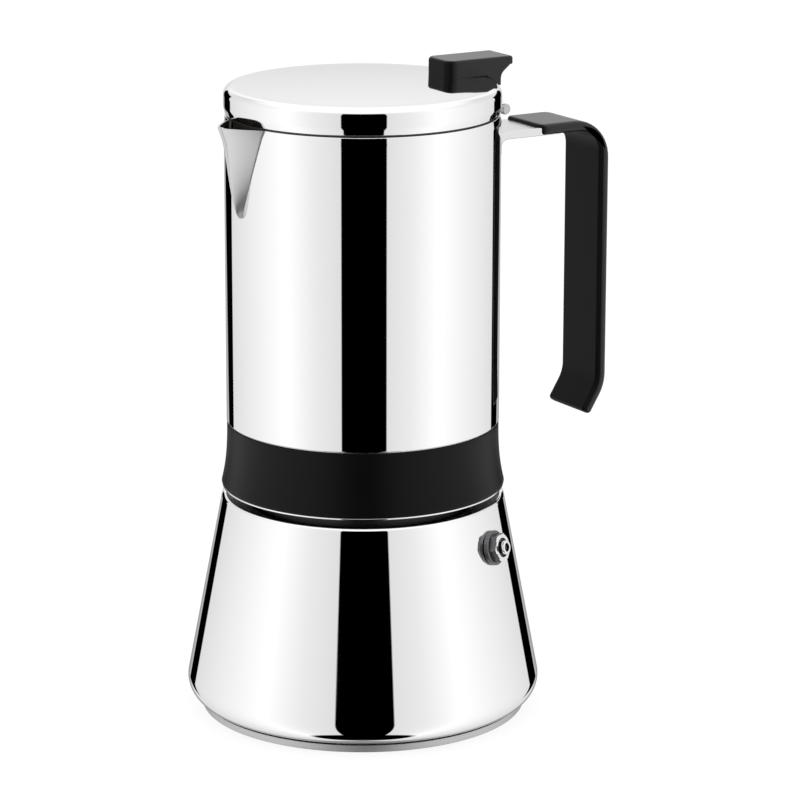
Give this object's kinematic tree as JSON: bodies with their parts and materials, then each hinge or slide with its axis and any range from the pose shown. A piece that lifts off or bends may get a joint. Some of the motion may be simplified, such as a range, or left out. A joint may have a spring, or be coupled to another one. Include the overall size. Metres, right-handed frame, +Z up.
{
  "type": "moka pot",
  "caption": "Stovetop coffee maker: flared boiler with safety valve, screw-on spouted pot, hinged lid with thumb knob, open strap handle, drop-in coffee basket.",
  "frame": {"origin": "centre of the base disc's flat underside, on the worktop", "axes": "+Z up along the pot's axis, +X towards the handle and hinge, the spout on -X"},
  "size_m": [0.1455, 0.1148, 0.2104],
  "materials": {
    "polished_steel": "mirror-polished stainless steel",
    "satin_steel": "satin stainless steel",
    "base_steel": "satin-ground stainless steel",
    "valve_steel": "polished steel",
    "spring_steel": "drawn wire",
    "core_aluminium": "rolled",
    "valve_brass": "turned",
    "seal_silicone": "matt silicone",
    "band_plastic": "matt, fine grained",
    "handle_plastic": "satin",
    "knob_plastic": "satin"
  },
  "bodies": {
    "boiler": {"boiler_shell": "polished_steel", "boiler_neck": "satin_steel", "heat_spreader": "core_aluminium", "base_cap": "base_steel", "valve_body": "valve_steel", "valve_washer": "seal_silicone", "valve_nut": "satin_steel", "valve_spring": "spring_steel"},
    "valve_plunger": {"valve_pin": "valve_brass"},
    "basket": {"basket_cup": "satin_steel", "basket_plate": "satin_steel", "funnel_stem": "satin_steel"},
    "seal_set": {"gasket": "seal_silicone", "filter_plate": "satin_steel"},
    "upper_pot": {"threaded_collar": "satin_steel", "pot_floor": "satin_steel", "pot_wall": "polished_steel", "spout": "polished_steel", "coffee_column": "satin_steel", "column_cap": "satin_steel", "grip_band": "band_plastic", "handle_strap": "polished_steel", "handle_sleeve": "handle_plastic", "hinge_base": "polished_steel", "hinge_pin": "polished_steel"},
    "lid": {"lid_shell": "polished_steel", "lid_ring": "satin_steel", "lid_leaf": "polished_steel", "lid_knob": "knob_plastic", "knob_screws": "satin_steel"}
  },
  "joints": [
    {"name": "valve_relief", "type": "slide", "parent": "boiler", "child": "valve_plunger", "axis": [0.4686, -0.863, 0.1891], "range_m": [0, 0.0012], "stiffness_N_per_m": 2500, "springref_m": -0.002, "deforming": ["valve_spring"]},
    {"name": "lift_out", "type": "slide", "parent": "boiler", "child": "basket", "axis": [0, 0, 1], "range_m": [0, 0.1]},
    {"name": "thread_rise", "type": "slide", "parent": "basket", "child": "seal_set", "axis": [0, 0, 1], "range_m": [0, 0.006]},
    {"name": "unscrew", "type": "hinge", "parent": "seal_set", "child": "upper_pot", "pos_m": [0, 0, 0.0888], "axis": [0, 0, 1], "range_deg": [0, 720]},
    {"name": "lid_hinge", "type": "hinge", "parent": "upper_pot", "child": "lid", "pos_m": [0.04855, 0, 0.1935], "axis": [0, 1, 0], "range_deg": [0, 95]}
  ],
  "couplings": [
    {"joint": "thread_rise", "follows": "unscrew", "m_per_rad": 0.00047746}
  ]
}
